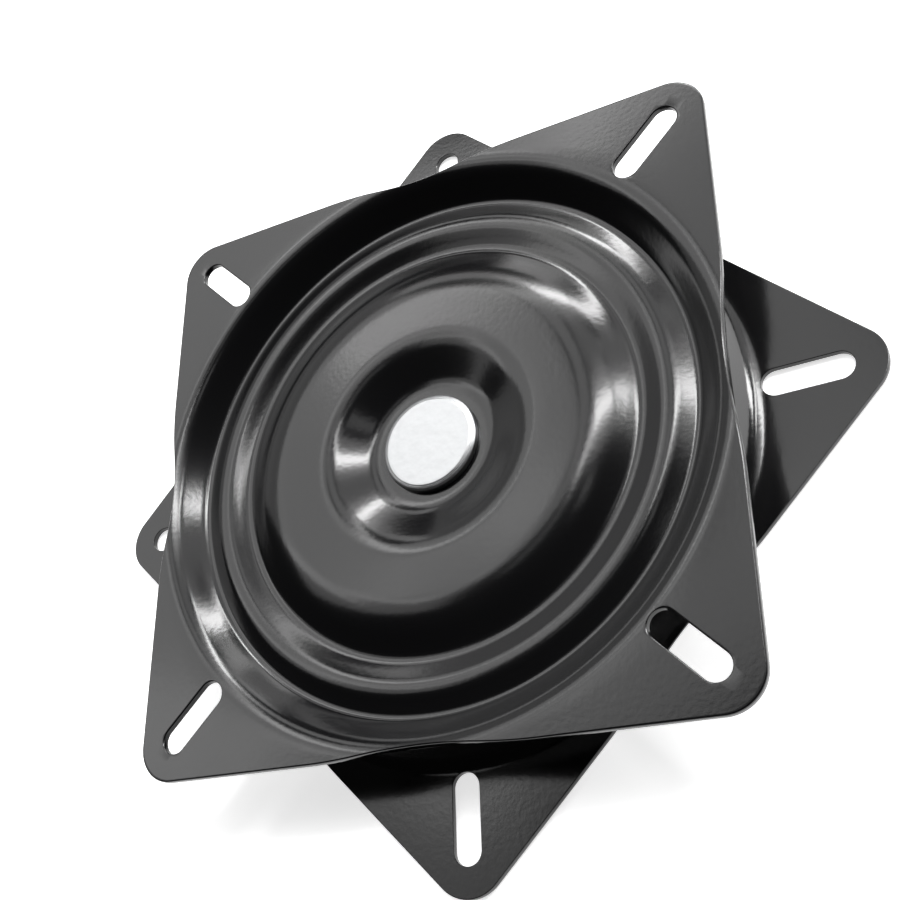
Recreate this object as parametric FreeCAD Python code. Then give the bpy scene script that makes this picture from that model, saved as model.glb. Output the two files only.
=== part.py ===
"""Square swivel bearing plate: two equal dished steel pressings, the lower one turned
over, a caged ring of balls between them and a shoulder rivet through the centre.
Sizes in millimetres. Origin on the swivel axis in the plane of the lower corners, +Z up."""
import FreeCAD
import Part
import math
import os

V = FreeCAD.Vector
quarter = 90.0              # a quarter turn, in degrees
first_diagonal = quarter / 2

# Overall sizes
plate_side = 178.0
sheet = 2.0
overall_height = 25.4

# Outline of one pressing
corner_radius = 10.7
side_draw = 1.9            # how far the dish pulls the middle of each side inwards
side_draw_half = 33.0      # half the length of side that is pulled in

# Turn of each plate about the swivel axis, in degrees
lower_turn = 45.0
turn_between_plates = 43.8

# Ball row and cage
ball_diameter = 9.525
ball_count = 24
race_clearance = 0.05
cage_thickness = 1.8
cage_outer_lip = 6.0       # cage width outside the ball centres
cage_inner_lip = 6.5       # cage width inside the ball centres
pocket_clearance = 0.15

# Centre rivet and spacer ring
head_radius = 14.7
head_height = 2.5
head_rim_height = 1.7      # straight part of the head's side
head_bevel = 1.5           # width of the bevel between the side and the face
shoulder_radius = 8.0
neck_radius = 6.0
hole_clearance = 0.08
end_clearance = 0.05
spacer_radius = 17.0
spacer_thickness = 3.3

# Section of the dish: steps between its bend lines, from the plate's side inwards
crease_margin = 2.2
slope_run = 8.6
outer_groove_to_race = 7.6
crest_width = 3.2
race_to_inner_groove = 8.2
inner_wall_run = 10.9

# Section of the dish: steps from the rivet's head outwards
floor_margin = 4.45
recess_run = 12.65

# Section of the dish: depths under the corner face, and drops under the crest
plateau_depth = 3.6
outer_groove_drop = 2.3
inner_groove_drop = 2.6

# Inside bend radii, in the order of the bend lines
crease_bend = 4.5
outer_groove_bend = 2.4
crest_outer_bend = 6.0
crest_inner_bend = 5.0
inner_groove_bend = 4.6
plateau_bend = 24.0
recess_bend = 16.0
floor_bend = 12.5

# Mounting slots, one on each half diagonal, just outside the crease
slot_width = 7.8
slot_length = 23.9
slot_to_crease = 2.65

# Radii of the bend lines and of the ball row
crease_radius = plate_side / 2 - crease_margin
outer_groove_radius = crease_radius - slope_run
race_radius = outer_groove_radius - outer_groove_to_race
inner_groove_radius = race_radius - race_to_inner_groove
plateau_radius = inner_groove_radius - inner_wall_run
floor_radius = head_radius + floor_margin
recess_radius = floor_radius + recess_run

# Heights and depths that follow from the stack of balls, sheets and spacer
middle_height = overall_height / 2
crest_depth = middle_height - sheet - ball_diameter / 2 - race_clearance
floor_depth = middle_height - sheet - spacer_thickness / 2 - end_clearance / 2

# Place of the slots, from the axis to the middle of each
slot_circle_radius = crease_radius + slot_to_crease + slot_length / 2


def unit(a, b):
    """Unit vector from a to b in the section plane."""
    length = math.hypot(b[0] - a[0], b[1] - a[1])
    return ((b[0] - a[0]) / length, (b[1] - a[1]) / length)


def bend_points(before, corner, after, radius):
    """Start, middle and end of the arc that rounds one corner of a section line."""
    u = unit(corner, before)
    w = unit(corner, after)
    half = math.acos(max(-1.0, min(1.0, u[0] * w[0] + u[1] * w[1]))) / 2
    reach = radius / math.tan(half)
    middle = unit((0, 0), (u[0] + w[0], u[1] + w[1]))
    inset = radius / math.sin(half) - radius
    start = (corner[0] + u[0] * reach, corner[1] + u[1] * reach)
    centre_side = (corner[0] + middle[0] * inset, corner[1] + middle[1] * inset)
    end = (corner[0] + w[0] * reach, corner[1] + w[1] * reach)
    return start, centre_side, end


def section_edges(points, radii):
    """Edges of a section line with every inner corner rounded."""
    def vec(p):
        return V(p[0], 0, p[1])
    edges = []
    last = points[0]
    for before, corner, after, radius in zip(points, points[1:], points[2:], radii):
        start, middle, end = bend_points(before, corner, after, radius)
        edges.append(Part.LineSegment(vec(last), vec(start)).toShape())
        edges.append(Part.Arc(vec(start), vec(middle), vec(end)).toShape())
        last = end
    edges.append(Part.LineSegment(vec(last), vec(points[-1])).toShape())
    return edges


def turns_up(before, corner, after):
    """True where the outer face of the sheet is hollow at this corner."""
    u = unit(before, corner)
    w = unit(corner, after)
    return u[0] * w[1] - u[1] * w[0] < 0


def inner_line(points):
    """The same section line moved by the sheet thickness towards the inside."""
    moved = []
    normals = []
    for a, b in zip(points, points[1:]):
        u = unit(a, b)
        normals.append((u[1], -u[0]) if u[0] > 0 else (-u[1], u[0]))
    for i, p in enumerate(points):
        n = normals[max(i - 1, 0)]
        m = normals[min(i, len(normals) - 1)]
        scale = sheet / (1 + n[0] * m[0] + n[1] * m[1])
        moved.append((p[0] + (n[0] + m[0]) * scale, p[1] + (n[1] + m[1]) * scale))
    return moved


def dish_corners(hole_radius):
    """Corners of the outer face's section, from past the plate's corner to the hole."""
    groove = crest_depth + outer_groove_drop
    inner_groove = crest_depth + inner_groove_drop
    return [
        (plate_side, 0.0),
        (crease_radius, 0.0),
        (outer_groove_radius, -groove),
        (race_radius + crest_width / 2, -crest_depth),
        (race_radius - crest_width / 2, -crest_depth),
        (inner_groove_radius, -inner_groove),
        (plateau_radius, -plateau_depth),
        (recess_radius, -plateau_depth),
        (floor_radius, -floor_depth),
        (hole_radius, -floor_depth),
    ]


def dish(hole_radius):
    """The dished sheet as a body of revolution, wider than the plate."""
    outer = dish_corners(hole_radius)
    inner = inner_line(outer)
    bends = [crease_bend, outer_groove_bend, crest_outer_bend, crest_inner_bend,
             inner_groove_bend, plateau_bend, recess_bend, floor_bend]
    outer_radii = []
    inner_radii = []
    for before, corner, after, bend in zip(outer, outer[1:], outer[2:], bends):
        hollow = turns_up(before, corner, after)
        outer_radii.append(bend if hollow else bend + sheet)
        inner_radii.append(bend + sheet if hollow else bend)
    edges = section_edges(outer, outer_radii) + section_edges(inner, inner_radii)
    for a, b in ((outer[0], inner[0]), (outer[-1], inner[-1])):
        edges.append(Part.LineSegment(V(a[0], 0, a[1]), V(b[0], 0, b[1])).toShape())
    wire = Part.Wire(Part.__sortEdges__(edges))
    return Part.Face(wire).revolve(V(0, 0, 0), V(0, 0, 1), 360)


def side_edges():
    """One side of the outline, from the end of one corner arc to the start of the next."""
    half = plate_side / 2
    end = half - corner_radius
    half_draw = side_draw_half / 2
    radius = (side_draw_half ** 2 + side_draw ** 2) / (4 * side_draw)
    swing = math.atan2(half_draw, radius - side_draw / 2) / 2
    side_step = radius * math.sin(swing)
    depth_step = radius * (1 - math.cos(swing))
    outer_far = V(half, -side_draw_half, 0)
    outer_near = V(half - side_draw / 2, -half_draw, 0)
    inner_near = V(half - side_draw / 2, half_draw, 0)
    inner_far = V(half, side_draw_half, 0)
    first_mid = V(half - depth_step, side_step - side_draw_half, 0)
    last_mid = V(half - depth_step, side_draw_half - side_step, 0)
    arc = Part.Arc
    return [
        Part.LineSegment(V(half, -end, 0), outer_far).toShape(),
        arc(outer_far, first_mid, outer_near).toShape(),
        arc(outer_near, V(half - side_draw, 0, 0), inner_near).toShape(),
        arc(inner_near, last_mid, inner_far).toShape(),
        Part.LineSegment(inner_far, V(half, end, 0)).toShape(),
    ]


def corner_edge():
    """The corner arc that follows one side."""
    half = plate_side / 2
    end = half - corner_radius
    cut = corner_radius * math.sqrt(0.5)
    return Part.Arc(V(half, end, 0), V(end + cut, end + cut, 0), V(end, half, 0)).toShape()


def outline_prism(bottom, top):
    """The plate's outline as a prism between two heights."""
    edges = []
    for quarter_turn in range(4):
        for edge in side_edges() + [corner_edge()]:
            edge.rotate(V(0, 0, 0), V(0, 0, 1), quarter_turn * quarter)
            edges.append(edge)
    face = Part.Face(Part.Wire(Part.__sortEdges__(edges)))
    face.translate(V(0, 0, bottom))
    return face.extrude(V(0, 0, top - bottom))


def slot_cutter(turn):
    """A radial slot at the given angle, longer than the sheet is thick."""
    half_straight = (slot_length - slot_width) / 2
    radius = slot_width / 2
    inner = slot_circle_radius - half_straight
    outer = slot_circle_radius + half_straight
    edges = [
        Part.LineSegment(V(inner, -radius, 0), V(outer, -radius, 0)).toShape(),
        Part.Arc(V(outer, -radius, 0), V(outer + radius, 0, 0), V(outer, radius, 0)).toShape(),
        Part.LineSegment(V(outer, radius, 0), V(inner, radius, 0)).toShape(),
        Part.Arc(V(inner, radius, 0), V(inner - radius, 0, 0), V(inner, -radius, 0)).toShape(),
    ]
    face = Part.Face(Part.Wire(edges))
    face.translate(V(0, 0, -2 * sheet))
    cutter = face.extrude(V(0, 0, 3 * sheet))
    cutter.rotate(V(0, 0, 0), V(0, 0, 1), turn)
    return cutter


def pressing(hole_radius):
    """One plate with its corner faces at height 0 and its dish below them."""
    plate = dish(hole_radius).common(outline_prism(-overall_height, overall_height))
    for quarter_turn in range(4):
        plate = plate.cut(slot_cutter(first_diagonal + quarter_turn * quarter))
    return plate.Solids[0]


def top_plate():
    plate = pressing(shoulder_radius + hole_clearance)
    plate.rotate(V(0, 0, 0), V(0, 0, 1), lower_turn + turn_between_plates)
    plate.translate(V(0, 0, overall_height))
    return plate


def bottom_plate():
    """The same pressing turned over, with the smaller hole that the rivet's neck fills."""
    plate = pressing(neck_radius)
    plate.rotate(V(0, 0, 0), V(1, 0, 0), 180)
    plate.rotate(V(0, 0, 0), V(0, 0, 1), lower_turn)
    return plate


def rivet_head(seat, up):
    """A flat head with a bevelled rim that stands on the height seat."""
    def at(radius, height):
        return V(radius, 0, seat + up * height)
    points = [
        at(0, 0),
        at(head_radius, 0),
        at(head_radius, head_rim_height),
        at(head_radius - head_bevel, head_height),
        at(0, head_height),
        at(0, 0),
    ]
    face = Part.Face(Part.makePolygon(points))
    return face.revolve(V(0, 0, 0), V(0, 0, 1), 360)


def rivet():
    """Shoulder rivet: the top plate turns on its shoulder, the bottom plate is clinched."""
    lower_seat = floor_depth
    shoulder_start = lower_seat + sheet
    upper_seat = overall_height - floor_depth + end_clearance
    neck = Part.makeCylinder(neck_radius, sheet, V(0, 0, lower_seat))
    shoulder = Part.makeCylinder(shoulder_radius, upper_seat - shoulder_start, V(0, 0, shoulder_start))
    body = shoulder.fuse([neck, rivet_head(upper_seat, 1), rivet_head(lower_seat, -1)])
    return body.removeSplitter().Solids[0]


def spacer_ring():
    """Flat ring round the rivet's shoulder that keeps the two dish floors apart."""
    base = floor_depth + sheet
    ring = Part.makeCylinder(spacer_radius, spacer_thickness, V(0, 0, base))
    bore = Part.makeCylinder(shoulder_radius + hole_clearance, spacer_thickness, V(0, 0, base))
    return ring.cut(bore)


def ball_centre(index):
    """Centre of one ball, half a pitch away from the axes."""
    angle = math.radians((index + 0.5) * 360 / ball_count)
    return V(race_radius * math.cos(angle), race_radius * math.sin(angle), middle_height)


def ball_cage():
    """Flat ring with one round pocket for each ball."""
    base = middle_height - cage_thickness / 2
    outer = race_radius + cage_outer_lip
    inner = race_radius - cage_inner_lip
    cage = Part.makeCylinder(outer, cage_thickness, V(0, 0, base))
    cage = cage.cut(Part.makeCylinder(inner, cage_thickness, V(0, 0, base)))
    pocket = ball_diameter / 2 + pocket_clearance
    pockets = []
    for index in range(ball_count):
        centre = ball_centre(index)
        pockets.append(Part.makeCylinder(pocket, cage_thickness, V(centre.x, centre.y, base)))
    return cage.cut(pockets)


def ball(index):
    return Part.makeSphere(ball_diameter / 2, ball_centre(index))


def main():
    os.makedirs("parts", exist_ok=True)
    shapes = {
        "top_plate": top_plate(),
        "bottom_plate": bottom_plate(),
        "center_rivet": rivet(),
        "spacer_ring": spacer_ring(),
        "ball_cage": ball_cage(),
    }
    for index in range(ball_count):
        shapes["ball_%02d" % (index + 1)] = ball(index)
    for name, shape in shapes.items():
        shape.exportStep("parts/" + name + ".step")


main()
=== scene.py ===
"""Square swivel bearing plate: two black enamelled steel pressings, one turned over on the other,
a caged ring of balls between them and a zinc plated rivet through the centre."""
import bmesh
import bpy
import math
from mathutils import Matrix, Vector


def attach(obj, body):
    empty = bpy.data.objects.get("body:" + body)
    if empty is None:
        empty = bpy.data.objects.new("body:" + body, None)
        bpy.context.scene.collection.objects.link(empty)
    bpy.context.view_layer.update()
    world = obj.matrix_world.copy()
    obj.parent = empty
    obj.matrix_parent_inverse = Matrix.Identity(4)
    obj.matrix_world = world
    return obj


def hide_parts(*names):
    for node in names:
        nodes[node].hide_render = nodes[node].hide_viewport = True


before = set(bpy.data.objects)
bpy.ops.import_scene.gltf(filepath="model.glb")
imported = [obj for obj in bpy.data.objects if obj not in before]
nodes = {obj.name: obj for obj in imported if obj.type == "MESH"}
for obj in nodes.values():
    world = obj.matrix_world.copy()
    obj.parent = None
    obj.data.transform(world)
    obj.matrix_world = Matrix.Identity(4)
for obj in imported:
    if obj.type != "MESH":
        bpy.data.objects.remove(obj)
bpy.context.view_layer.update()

MM = 0.001
QUARTER = math.pi / 2

# The pressing, in millimetres and degrees
PLATE_SIDE = 178.0
SHEET = 2.0
OVERALL_HEIGHT = 25.4
CORNER_RADIUS = 10.77
SIDE_DRAW = 1.9            # how far the dish pulls the middle of each side inwards
SIDE_DRAW_HALF = 33.0      # half the length of side that is pulled in
LOWER_TURN = 45.0
UPPER_TURN = 88.8

# What stands between the two pressings
BALL_DIAMETER = 9.525
RACE_CLEARANCE = 0.05
SPACER_THICKNESS = 3.3
END_CLEARANCE = 0.05

# Section of the dish: radius of each bend line, and depth under the corner faces
CREASE_RADIUS = 86.8
OUTER_GROOVE_RADIUS = 78.2
RACE_RADIUS = 70.6
CREST_WIDTH = 3.2
INNER_GROOVE_RADIUS = 62.4
PLATEAU_RADIUS = 51.5
RECESS_RADIUS = 31.8
FLOOR_RADIUS = 19.15
CREST_DEPTH = OVERALL_HEIGHT / 2 - SHEET - BALL_DIAMETER / 2 - RACE_CLEARANCE
FLOOR_DEPTH = OVERALL_HEIGHT / 2 - SHEET - SPACER_THICKNESS / 2 - END_CLEARANCE / 2
PLATEAU_DEPTH = 3.6
OUTER_GROOVE_DROP = 2.3
INNER_GROOVE_DROP = 2.6
# Inside radius of each bend, from the crease to the floor
BEND_RADII = (7.0, 2.4, 6.0, 5.0, 4.6, 24.0, 16.0, 12.5)

# Mounting slots
SLOT_WIDTH = 7.8
SLOT_LENGTH = 23.9
SLOT_CENTRE = 101.4

# Sheared edges: the die rolls the edge of one face over and leaves the other one crisp
ROLL_OVER = 0.45
BREAK = 0.15
EDGE_FLAT = 1.2            # least flat sheet between the crease and the edge

# The rivet
RIVET_HOLE = 8.08
RIVET_NECK = 6.0
RIVET_SHOULDER = 8.0
HEAD_RADIUS = 14.7
HEAD_HEIGHT = 2.5
HEAD_RIM_HEIGHT = 1.7
HEAD_BEVEL = 1.5
SEAT_BREAK = 0.1
# Rounding from the head's face to its bevel, outwards and upwards from the face's corner
FACE_ROUND = ((-0.9, 0.0), (-0.25, 0.0), (-0.08, -0.02), (0.06, -0.07), (0.22, -0.17))
# Turning marks on the bevel, as low steps measured the same way
TURNING_MARKS = ((0.44, -0.21), (0.60, -0.37), (0.84, -0.42), (0.98, -0.55))
# Rounding from the bevel to the rim, outwards and upwards from the rim's corner
RIM_ROUND = ((-0.35, 0.16), (-0.12, 0.0), (-0.03, -0.12), (0.0, -0.3))

# Inside this radius the rows of points are circles, and outside it they follow the outline
SLOPE_START = OUTER_GROOVE_RADIUS + 1.2

# Fineness of the meshes, in millimetres or steps
ARC_STEP = 0.8
RUN_STEP = 2.4
FLAT_STEPS = 8
ROLL_STEPS = 4
BREAK_STEPS = 2
SLOT_END_STEPS = 20
RIVET_STEPS = 160
SHARP_EDGE = math.radians(32)


def linear(code):
    """An sRGB hex colour as linear red, green, blue and alpha."""
    parts = [int(code[i:i + 2], 16) / 255 for i in (1, 3, 5)]
    return [c / 12.92 if c <= 0.04045 else ((c + 0.055) / 1.055) ** 2.4 for c in parts] + [1.0]


def add(tree, kind, settings=None, links=None):
    """A node of that kind, with its settings and with other nodes' outputs linked to its inputs,
    which are named or numbered."""
    node = tree.nodes.new(kind)
    for name, value in (settings or {}).items():
        if name in node.inputs:
            node.inputs[name].default_value = value
        else:
            setattr(node, name, value)
    for name, output in (links or {}).items():
        tree.links.new(output, node.inputs[name])
    return node


def new_material(name, colour):
    """A material of one colour with its shader and its output joined."""
    material = bpy.data.materials.new(name)
    material.use_nodes = True
    tree = material.node_tree
    tree.nodes.clear()
    shader = add(tree, "ShaderNodeBsdfPrincipled", {"Base Color": linear(colour)})
    add(tree, "ShaderNodeOutputMaterial", links={"Surface": shader.outputs["BSDF"]})
    return material, tree, shader


def new_object(name, data):
    """A new object that stands in the scene."""
    thing = bpy.data.objects.new(name, data)
    bpy.context.scene.collection.objects.link(thing)
    return thing


# Finishes

def patchy_gloss(tree, shader, scale, detail, low, high, spread=(0.0, 1.0)):
    """Roughness that wanders between two values, over a spread of the noise's values."""
    place = add(tree, "ShaderNodeTexCoord").outputs["Object"]
    patches = add(tree, "ShaderNodeTexNoise", {"Scale": scale, "Detail": detail}, {"Vector": place})
    gloss = add(tree, "ShaderNodeMapRange",
                {"From Min": spread[0], "From Max": spread[1], "To Min": low, "To Max": high},
                {"Value": patches.outputs["Fac"]})
    tree.links.new(gloss.outputs["Result"], shader.inputs["Roughness"])


def uneven_face(tree, shader, scale, strength, depth):
    """Fine humps in the light that a face throws back. The depth is in metres."""
    place = add(tree, "ShaderNodeTexCoord").outputs["Object"]
    humps = add(tree, "ShaderNodeTexNoise", {"Scale": scale, "Detail": 2.0}, {"Vector": place})
    bump = add(tree, "ShaderNodeBump", {"Strength": strength, "Distance": depth},
               {"Height": humps.outputs["Fac"]})
    tree.links.new(bump.outputs["Normal"], shader.inputs["Normal"])


def black_stoving_enamel():
    """Black stoving enamel sprayed on pressed steel: glossy, with a fine orange peel."""
    material, tree, shader = new_material("black stoving enamel", "#0b0b0c")
    shader.inputs["IOR"].default_value = 1.5
    # Slow change of the gloss over about 35 mm, where the coat is thicker or thinner
    patchy_gloss(tree, shader, 28.0, 3.0, 0.13, 0.17, spread=(0.3, 0.7))
    # Orange peel is about 0.6 mm from hump to hump and is drawn at 1.4 mm so that it shows
    uneven_face(tree, shader, 700.0, 0.06, 0.0003)
    return material


def bright_zinc():
    """Zinc plate with a clear passivate: bright, slightly blue, softly mirrored."""
    material, tree, shader = new_material("bright zinc plate", "#a9aaab")
    shader.inputs["Metallic"].default_value = 1.0
    # Crystals of the plating, drawn at about 1 mm, that make the face's light uneven
    patchy_gloss(tree, shader, 900.0, 3.0, 0.3, 0.44)
    # Hammer marks of the head, about 4 mm across, shade its face a little
    uneven_face(tree, shader, 260.0, 0.35, 0.0004)
    return material


def cold_rolled_steel():
    """Bare cold rolled strip with a film of grease: grey and dull."""
    material, tree, shader = new_material("cold rolled steel", "#8f8f8c")
    shader.inputs["Metallic"].default_value = 1.0
    # The film of grease, in patches of about 2 mm
    patchy_gloss(tree, shader, 500.0, 4.0, 0.3, 0.5)
    return material


def ground_bearing_steel():
    """Ground and polished bearing steel: a clear mirror with a warm grey."""
    material, tree, shader = new_material("ground bearing steel", "#b9b8b4")
    shader.inputs["Metallic"].default_value = 1.0
    # A haze of grease on the polish, in patches of about 3 mm
    patchy_gloss(tree, shader, 300.0, 2.0, 0.06, 0.14)
    return material


# Shape of the pressing

def toward(a, b):
    """Unit step from one point of the section to another."""
    length = math.hypot(b[0] - a[0], b[1] - a[1])
    return ((b[0] - a[0]) / length, (b[1] - a[1]) / length)


def corners_of_section(hole_radius):
    """Bend lines of the outer face, from the hole outwards, as radius and height."""
    return [
        (hole_radius, -FLOOR_DEPTH),
        (FLOOR_RADIUS, -FLOOR_DEPTH),
        (RECESS_RADIUS, -PLATEAU_DEPTH),
        (PLATEAU_RADIUS, -PLATEAU_DEPTH),
        (INNER_GROOVE_RADIUS, -CREST_DEPTH - INNER_GROOVE_DROP),
        (RACE_RADIUS - CREST_WIDTH / 2, -CREST_DEPTH),
        (RACE_RADIUS + CREST_WIDTH / 2, -CREST_DEPTH),
        (OUTER_GROOVE_RADIUS, -CREST_DEPTH - OUTER_GROOVE_DROP),
        (CREASE_RADIUS, 0.0),
        (PLATE_SIDE, 0.0),
    ]


def section(hole_radius):
    """Points of the outer face's rounded section with their upward normals."""
    corners = corners_of_section(hole_radius)
    points = []
    last = corners[0]
    for before, corner, after, bend in zip(corners, corners[1:], corners[2:],
                                           reversed(BEND_RADII)):
        u, w = toward(before, corner), toward(corner, after)
        turn = math.atan2(w[1], w[0]) - math.atan2(u[1], u[0])
        radius = bend if turn > 0 else bend + SHEET
        reach = radius * math.tan(abs(turn) / 2)
        start = (corner[0] - u[0] * reach, corner[1] - u[1] * reach)
        end = (corner[0] + w[0] * reach, corner[1] + w[1] * reach)
        run = math.hypot(start[0] - last[0], start[1] - last[1])
        count = max(1, round(run / RUN_STEP))
        for k in range(count):
            t = k / count
            points.append((last[0] + (start[0] - last[0]) * t, last[1] + (start[1] - last[1]) * t,
                           -u[1], u[0]))
        count = max(3, math.ceil(abs(turn) * radius / ARC_STEP))
        side = 1 if turn > 0 else -1
        centre = (start[0] - u[1] * radius * side, start[1] + u[0] * radius * side)
        for k in range(count):
            angle = math.atan2(u[1], u[0]) + turn * k / count
            across = (-math.sin(angle), math.cos(angle))
            points.append((centre[0] - across[0] * radius * side,
                           centre[1] - across[1] * radius * side, across[0], across[1]))
        last = end
    points.append((last[0], last[1], 0.0, 1.0))
    return points


def side_pull(y):
    """How far the outline lies inside the straight side at a place along it."""
    half = SIDE_DRAW_HALF / 2
    radius = (SIDE_DRAW_HALF ** 2 + SIDE_DRAW ** 2) / (4 * SIDE_DRAW)
    y = abs(y)
    if y >= SIDE_DRAW_HALF:
        return 0.0
    if y >= half:
        return radius - math.sqrt(radius ** 2 - (SIDE_DRAW_HALF - y) ** 2)
    return SIDE_DRAW - radius + math.sqrt(radius ** 2 - y ** 2)


def outline_reach(angle):
    """Distance from the axis to the outline in a direction, in the pressing's own frame."""
    angle = abs((angle + QUARTER / 2) % QUARTER - QUARTER / 2)
    half = PLATE_SIDE / 2
    end = half - CORNER_RADIUS
    reach = half / math.cos(angle)
    if reach * math.sin(angle) > end:
        along = end * (math.cos(angle) + math.sin(angle))
        across = end * (math.cos(angle) - math.sin(angle))
        return along + math.sqrt(CORNER_RADIUS ** 2 - across ** 2)
    # The pull depends on the place along the side, and six rounds settle it
    for _ in range(6):
        reach = (half - side_pull(reach * math.sin(angle))) / math.cos(angle)
    return reach


def directions():
    """Angles round the plate, closer together at its corners."""
    coarse, fine = 40, 20
    near_corner = math.radians(39.5)
    eighth = [near_corner * k / coarse for k in range(coarse)]
    eighth += [near_corner + (QUARTER / 2 - near_corner) * k / fine for k in range(fine)]
    quarter = eighth + [QUARTER / 2] + [QUARTER - a for a in reversed(eighth[1:])]
    return [turn * QUARTER + a for turn in range(4) for a in quarter]


def height_at(line, r):
    """Height and normal of the outer face at a radius."""
    for a, b in zip(line, line[1:]):
        if b[0] >= r:
            t = (r - a[0]) / max(b[0] - a[0], 1e-9)
            return a[1] + (b[1] - a[1]) * t, (a[2] + (b[2] - a[2]) * t, a[3] + (b[3] - a[3]) * t)
    return line[-1][1], (0.0, 1.0)


def pressing_rows(hole_radius):
    """Rows of points round the plate: up the outer face, and down the inner one."""
    line = section(hole_radius)
    bend_end = line[-1][0]
    angles = directions()
    reaches = [outline_reach(a) for a in angles]
    outer, inner = [], []
    for r, z, across, up in line:
        if r < SLOPE_START:
            outer.append([(r, z)] * len(angles))
            inner.append([(r - across * SHEET, z - up * SHEET)] * len(angles))
    start = max(p[0] for p in line if p[0] < SLOPE_START)
    stations = [(p[0] - start) / (bend_end - start) for p in line if p[0] > start]
    for row, share in enumerate(stations + list(range(1, FLAT_STEPS + 1))):
        outer_row, inner_row = [], []
        for reach in reaches:
            limit = min(bend_end, reach - EDGE_FLAT)
            if row < len(stations):
                r = start + share * (limit - start)
            else:
                # Rows of the flat stand closer together towards the rolled over rim
                inset = (reach - ROLL_OVER - limit) * (1 - share / FLAT_STEPS) ** 2
                r = reach - ROLL_OVER - inset
            z, (across, up) = height_at(line, r)
            outer_row.append((r, z))
            inner_row.append((r - across * SHEET, z - up * SHEET))
        outer.append(outer_row)
        inner.append(inner_row)
    return angles, reaches, outer, inner


def rolled_rim():
    """Rounding of a rolled over rim: distance in from the edge, and distance down."""
    return [(ROLL_OVER * (1 - math.sin(QUARTER * k / ROLL_STEPS)),
             ROLL_OVER * (1 - math.cos(QUARTER * k / ROLL_STEPS))) for k in range(ROLL_STEPS + 1)]


def sheared_edge(top, bottom, outward, reach):
    """Points down a sheared edge: a rolled over rim, a straight wall, a crisp lower rim."""
    points = [(reach - outward * inset, top - drop) for inset, drop in rolled_rim()[1:]]
    for k in range(BREAK_STEPS + 1):
        a = QUARTER * k / BREAK_STEPS
        points.append((reach - outward * BREAK * (1 - math.cos(a)),
                       bottom + BREAK * (1 - math.sin(a))))
    return points


def band(one, other, count):
    """Faces between two rings of points."""
    return [(one * count + i, other * count + i, other * count + (i + 1) % count,
             one * count + (i + 1) % count) for i in range(count)]


def pressing_mesh(name, hole_radius):
    """One pressing with its corner faces at height 0 and its dish below them."""
    angles, reaches, outer, inner = pressing_rows(hole_radius)
    rims = [sheared_edge(top[1], bottom[1], 1, reach)
            for top, bottom, reach in zip(outer[-1], inner[-1], reaches)]
    rows = outer + [list(rim_row) for rim_row in zip(*rims)]
    rows.append([(reach - BREAK * 2, under[1]) for reach, under in zip(reaches, inner[-1])])
    rows += reversed(inner)
    hole = sheared_edge(outer[0][0][1], inner[0][0][1], -1, hole_radius)
    rows += [[point] * len(angles) for point in reversed(hole)]
    rows[0] = [(hole_radius + ROLL_OVER, outer[0][0][1])] * len(angles)
    rows[len(rows) - len(hole) - 1] = [(hole_radius + 2 * BREAK, inner[0][0][1])] * len(angles)
    points = [(r * math.cos(a) * MM, r * math.sin(a) * MM, z * MM)
              for row in rows for a, (r, z) in zip(angles, row)]
    faces = []
    for row in range(len(rows)):
        faces += band(row, (row + 1) % len(rows), len(angles))
    mesh = bpy.data.meshes.new(name)
    mesh.from_pydata(points, [], faces)
    mesh.validate()
    return mesh


def slot_tool(turn):
    """Solid that cuts one slot, wider at the top by the rolled over rim."""
    half = (SLOT_LENGTH - SLOT_WIDTH) / 2
    levels = [(-2 * SHEET, BREAK), (-SHEET, BREAK), (-SHEET + BREAK, 0.0)]
    levels += [(-inset, drop) for inset, drop in rolled_rim()]
    levels.append((SHEET, ROLL_OVER + 0.1))
    ring = []
    for k in range(2 * SLOT_END_STEPS + 2):
        end = 1 if k <= SLOT_END_STEPS else -1
        a = -QUARTER + math.pi * (k if end > 0 else k - 1) / SLOT_END_STEPS
        ring.append((end * half, math.cos(a), math.sin(a)))
    spin = Matrix.Rotation(turn, 3, "Z")
    points = []
    for z, grow in levels:
        for shift, x, y in ring:
            r = SLOT_WIDTH / 2 + grow
            points.append(spin @ Vector((SLOT_CENTRE + shift + x * r, y * r, z)) * MM)
    count = len(ring)
    faces = []
    for level in range(len(levels) - 1):
        faces += [(b, c, d, a) for a, b, c, d in band(level + 1, level, count)]
    faces.append(tuple(reversed(range(count))))
    faces.append(tuple(range((len(levels) - 1) * count, len(levels) * count)))
    mesh = bpy.data.meshes.new("slot tool")
    mesh.from_pydata(points, [], faces)
    return new_object("slot tool", mesh)


def shade(mesh):
    """Outward, smooth faces with the sharp edges kept."""
    work = bmesh.new()
    work.from_mesh(mesh)
    bmesh.ops.recalc_face_normals(work, faces=work.faces)
    for face in work.faces:
        face.smooth = True
    for edge in work.edges:
        if len(edge.link_faces) == 2 and edge.calc_face_angle() > SHARP_EDGE:
            edge.smooth = False
    work.to_mesh(mesh)
    work.free()


def make_pressing(name, hole_radius, place):
    """One pressing with its four slots cut, moved to its place."""
    plate = new_object(name, pressing_mesh(name, hole_radius))
    tools = [slot_tool(QUARTER / 2 + turn * QUARTER) for turn in range(4)]
    for tool in tools:
        cut = plate.modifiers.new("slot", "BOOLEAN")
        cut.operation = "DIFFERENCE"
        cut.solver = "EXACT"
        cut.object = tool
    depsgraph = bpy.context.evaluated_depsgraph_get()
    cut_mesh = bpy.data.meshes.new_from_object(plate.evaluated_get(depsgraph))
    plate.modifiers.clear()
    plate.data = cut_mesh
    for tool in tools:
        bpy.data.objects.remove(tool)
    cut_mesh.transform(place)
    shade(cut_mesh)
    return plate


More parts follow.
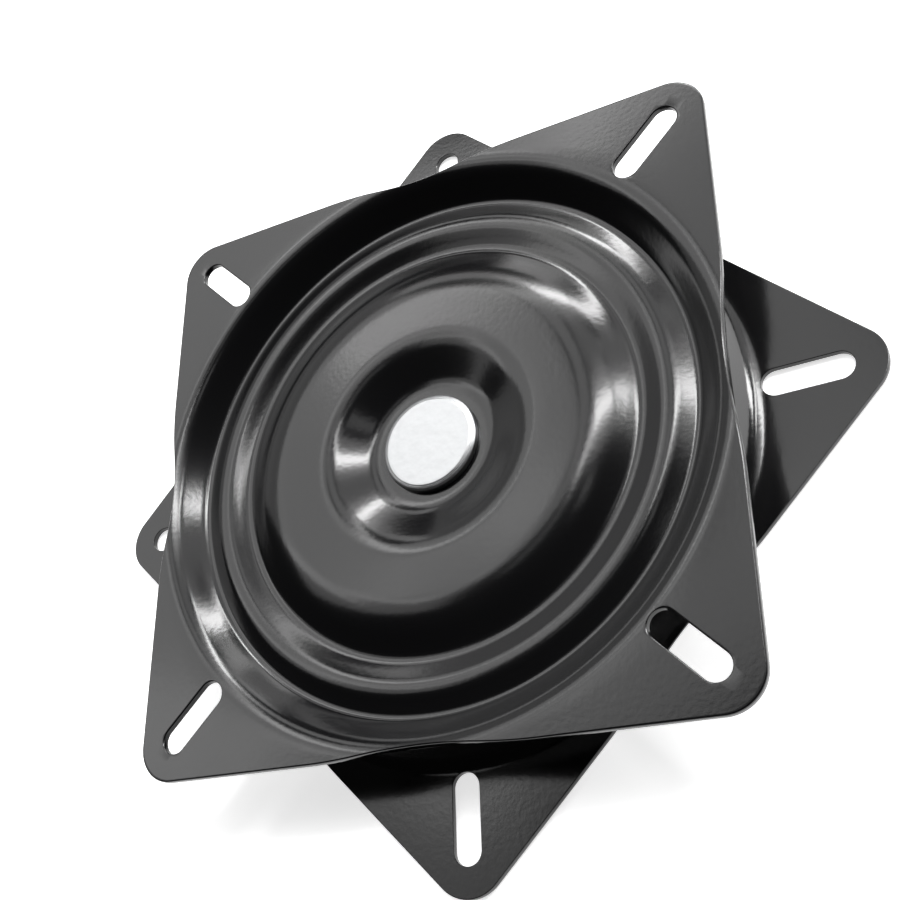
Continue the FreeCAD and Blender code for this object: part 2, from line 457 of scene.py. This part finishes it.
def head_outline(seat, up):
    """Radius and height down one head of the rivet, from its face to its seat."""
    points = [(HEAD_RADIUS - HEAD_BEVEL + out, HEAD_HEIGHT + rise)
              for out, rise in FACE_ROUND + TURNING_MARKS]
    points += [(HEAD_RADIUS + out, HEAD_RIM_HEIGHT + rise) for out, rise in RIM_ROUND]
    points += [(HEAD_RADIUS, SEAT_BREAK), (HEAD_RADIUS - SEAT_BREAK, 0.0)]
    return [(r, seat + up * z) for r, z in points]


def make_rivet():
    """Shoulder rivet with two heads, turned about the swivel axis."""
    low, high = FLOOR_DEPTH, OVERALL_HEIGHT - FLOOR_DEPTH + END_CLEARANCE
    line = head_outline(high, 1) + [(RIVET_SHOULDER, high), (RIVET_SHOULDER, low + SHEET),
                                    (RIVET_NECK, low + SHEET), (RIVET_NECK, low)]
    line += reversed(head_outline(low, -1))
    turns = [math.tau * i / RIVET_STEPS for i in range(RIVET_STEPS)]
    points = [(r * math.cos(a) * MM, r * math.sin(a) * MM, z * MM) for r, z in line for a in turns]
    faces = []
    for row in range(len(line) - 1):
        faces += band(row, row + 1, RIVET_STEPS)
    faces.append(tuple(range(RIVET_STEPS)))
    faces.append(tuple(reversed(range(len(points) - RIVET_STEPS, len(points)))))
    mesh = bpy.data.meshes.new("rivet")
    mesh.from_pydata(points, [], faces)
    shade(mesh)
    return new_object("rivet", mesh)


# Assembly

enamel = black_stoving_enamel()
zinc = bright_zinc()
strip = cold_rolled_steel()
ball_steel = ground_bearing_steel()

upper_place = (Matrix.Translation((0, 0, OVERALL_HEIGHT * MM))
               @ Matrix.Rotation(math.radians(UPPER_TURN), 4, "Z"))
lower_place = (Matrix.Rotation(math.radians(LOWER_TURN), 4, "Z")
               @ Matrix.Rotation(math.pi, 4, "X"))
for name, body, hole, place in (("upper_pressing", "upper", RIVET_HOLE, upper_place),
                                ("lower_pressing", "base", RIVET_NECK, lower_place)):
    plate = make_pressing(name, hole, place)
    plate.data.materials.clear()
    plate.data.materials.append(enamel)
    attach(plate, body)
    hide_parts("top_plate" if body == "upper" else "bottom_plate")

rivet = make_rivet()
rivet.data.materials.append(zinc)
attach(rivet, "base")
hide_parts("center_rivet")

finishes = {"top_plate": enamel, "bottom_plate": enamel, "center_rivet": zinc,
            "spacer_ring": strip, "ball_cage": strip}
for name, node in nodes.items():
    finish = finishes.get(name, ball_steel)
    for slot in node.material_slots:
        slot.material = finish
    if not node.material_slots:
        node.data.materials.append(finish)


# Studio

LAMP_DISTANCE = 3.0        # metres
LAMP_POWER = 4.0           # watts for each square metre of lamp at a radiance of 1
FLOOR_SIDE = 8.0           # metres
FLOOR_GAP = 0.0002         # metres under the lower plate, so that no faces meet
FLOOR_GLOW = 0.7           # lifts the floor to white where it is looked at, but not its light
ROOM_DIM = 0.02            # strength of the room above the object

# Ends of each lamp as azimuth and elevation, its width in degrees, and its radiance
LAMPS = (
    ("left strip foot", (33, 50), (50, 49), 5, 19.0),
    ("left strip", (49, 54), (80, 66), 5, 20.0),
    ("left strip glow", (46, 52), (83, 67), 18, 1.6),
    ("overhead strip", (80, 67), (103, 73), 5, 8.0),
    ("overhead band", (106, 68), (150, 64), 8, 1.5),
    ("middle strip start", (65, 31), (80, 33), 5, 16.0),
    ("middle strip", (81, 33), (97, 38.5), 5, 18.0),
    ("middle strip glow", (78, 32), (102, 40), 16, 1.5),
    ("middle strip end", (98, 41), (133, 46.5), 5, 3.5),
    ("small softbox", (32, 40), (32, 26), 7, 24.0),
    ("low softbox", (2, 12), (52, 12), 24, 3.0),
    ("low spot", (69, 28), (70, 15), 5, 20.0),
    ("low band", (74, 15), (84, 12), 12, 3.2),
    ("low band end", (86, 12), (97, 8), 13, 0.8),
    ("window", (118, 42), (166, 42), 20, 1.7),
    ("window top", (118, 57), (160, 57), 10, 1.7),
    ("window pane", (128, 57.5), (137, 57.5), 4, 1.6),
    ("window side", (169, 36), (166, 66), 14, 0.9),
    ("window left", (105, 43), (105, 65), 9, 1.0),
    ("window left edge", (103, 42), (103, 67), 14, 0.5),
    ("window sill", (118, 22), (160, 22), 20, 0.5),
    ("shelf", (98, 34), (119, 25), 9, 1.6),
    ("shelf foot", (84, 24), (97, 15), 9, 1.9),
    ("wall left", (64, 47), (92, 50), 12, 1.1),
    ("wall low left", (42, 38), (66, 37), 17, 1.1),
    ("far wall", (112, 3), (168, 3), 14, 0.45),
    ("ceiling", (95, 77), (165, 75), 5, 0.6),
    ("ceiling left", (22, 79), (44, 75), 7, 1.0),
)


def direction(azimuth, elevation):
    """Unit vector from the object towards a place in the room."""
    a, e = math.radians(azimuth), math.radians(elevation)
    return Vector((math.cos(e) * math.cos(a), math.cos(e) * math.sin(a), math.sin(e)))


def soft_light(name, start, end, width, radiance):
    """A flat lamp between two directions that faces the object. Radiance 1 mirrors as white."""
    first, last = direction(*start) * LAMP_DISTANCE, direction(*end) * LAMP_DISTANCE
    back = (first + last).normalized()
    along = last - first
    data = bpy.data.lights.new(name, "AREA")
    data.shape = "RECTANGLE"
    data.size = along.length
    data.size_y = 2 * LAMP_DISTANCE * math.tan(math.radians(width / 2))
    data.energy = radiance * data.size * data.size_y * LAMP_POWER
    along = (along - back * along.dot(back)).normalized()
    turned = Matrix((along, back.cross(along), back)).transposed()
    centre = Vector((0, 0, OVERALL_HEIGHT / 2 * MM)) + (first + last) / 2
    new_object(name, data).matrix_world = Matrix.Translation(centre) @ turned.to_4x4()


def studio_floor():
    """Pale floor that keeps the object's soft shadow."""
    material, tree, shader = new_material("pale studio floor", "#f4f4f4")
    shader.inputs["Roughness"].default_value = 0.9
    shader.inputs["Specular IOR Level"].default_value = 0.0
    shader.inputs["Emission Color"].default_value = (1, 1, 1, 1)
    path = add(tree, "ShaderNodeLightPath").outputs
    mirrored = add(tree, "ShaderNodeMath", {"operation": "MAXIMUM"},
                   {0: path["Is Glossy Ray"], 1: path["Is Transmission Ray"]}).outputs[0]
    seen = add(tree, "ShaderNodeMath", {"operation": "MAXIMUM"},
               {0: path["Is Camera Ray"], 1: mirrored}).outputs[0]
    lift = add(tree, "ShaderNodeMapRange", {"To Min": 0.0, "To Max": FLOOR_GLOW}, {"Value": seen})
    tree.links.new(lift.outputs["Result"], shader.inputs["Emission Strength"])
    half = FLOOR_SIDE / 2
    mesh = bpy.data.meshes.new("studio_floor")
    mesh.from_pydata([(-half, -half, 0), (half, -half, 0), (half, half, 0), (-half, half, 0)], [],
                     [(0, 1, 2, 3)])
    mesh.materials.append(material)
    floor = new_object("studio_floor", mesh)
    floor.location.z = -FLOOR_GAP


def studio_room():
    """White where the camera looks past the floor. Metal and glass mirror that white low down,
    behind the object, and a dim room above it."""
    world = bpy.data.worlds.new("studio room")
    bpy.context.scene.world = world
    world.use_nodes = True
    tree = world.node_tree
    tree.nodes.clear()
    path = add(tree, "ShaderNodeLightPath").outputs
    place = add(tree, "ShaderNodeTexCoord").outputs["Generated"]
    height = add(tree, "ShaderNodeSeparateXYZ", links={"Vector": place}).outputs["Z"]
    low_down = add(tree, "ShaderNodeMapRange", {"From Min": 0.06, "From Max": 0.14, "To Min": 1.0,
                                                "To Max": 0.0}, {"Value": height})
    mirrored = add(tree, "ShaderNodeMath", {"operation": "MAXIMUM"},
                   {0: path["Is Glossy Ray"], 1: path["Is Transmission Ray"]}).outputs[0]
    mirrored_low = add(tree, "ShaderNodeMath", {"operation": "MULTIPLY"},
                       {0: mirrored, 1: low_down.outputs["Result"]}).outputs[0]
    seen = add(tree, "ShaderNodeMath", {"operation": "MAXIMUM"},
               {0: path["Is Camera Ray"], 1: mirrored_low}).outputs[0]
    level = add(tree, "ShaderNodeMapRange", {"To Min": ROOM_DIM, "To Max": 1.0}, {"Value": seen})
    back = add(tree, "ShaderNodeBackground", {"Color": (1, 1, 1, 1)},
               {"Strength": level.outputs["Result"]})
    add(tree, "ShaderNodeOutputWorld", links={"Surface": back.outputs["Background"]})


def make_camera():
    """A viewpoint high beside the object, with the frame rolled and its centre a little off."""
    place = Vector((0.15624, -0.16559, 0.30386))
    target = Vector((-0.01937, -0.00055, 0.0127))
    roll = math.radians(-54.186)
    data = bpy.data.cameras.new("camera")
    data.sensor_width = 36.0
    data.lens = 51.854
    data.shift_x = 0.0778
    data.shift_y = 0.0189
    data.clip_start = 0.01
    forward = (target - place).normalized()
    level = forward.cross(Vector((0, 0, 1))).normalized()
    upright = level.cross(forward)
    right = math.cos(roll) * level + math.sin(roll) * upright
    up = right.cross(forward)
    camera = new_object("camera", data)
    turned = Matrix((right, up, -forward)).transposed()
    camera.matrix_world = Matrix.Translation(place) @ turned.to_4x4()
    bpy.context.scene.camera = camera


for name, start, end, width, radiance in LAMPS:
    soft_light(name, start, end, width, radiance)
studio_floor()
studio_room()
make_camera()
bpy.context.scene.view_settings.view_transform = "Standard"
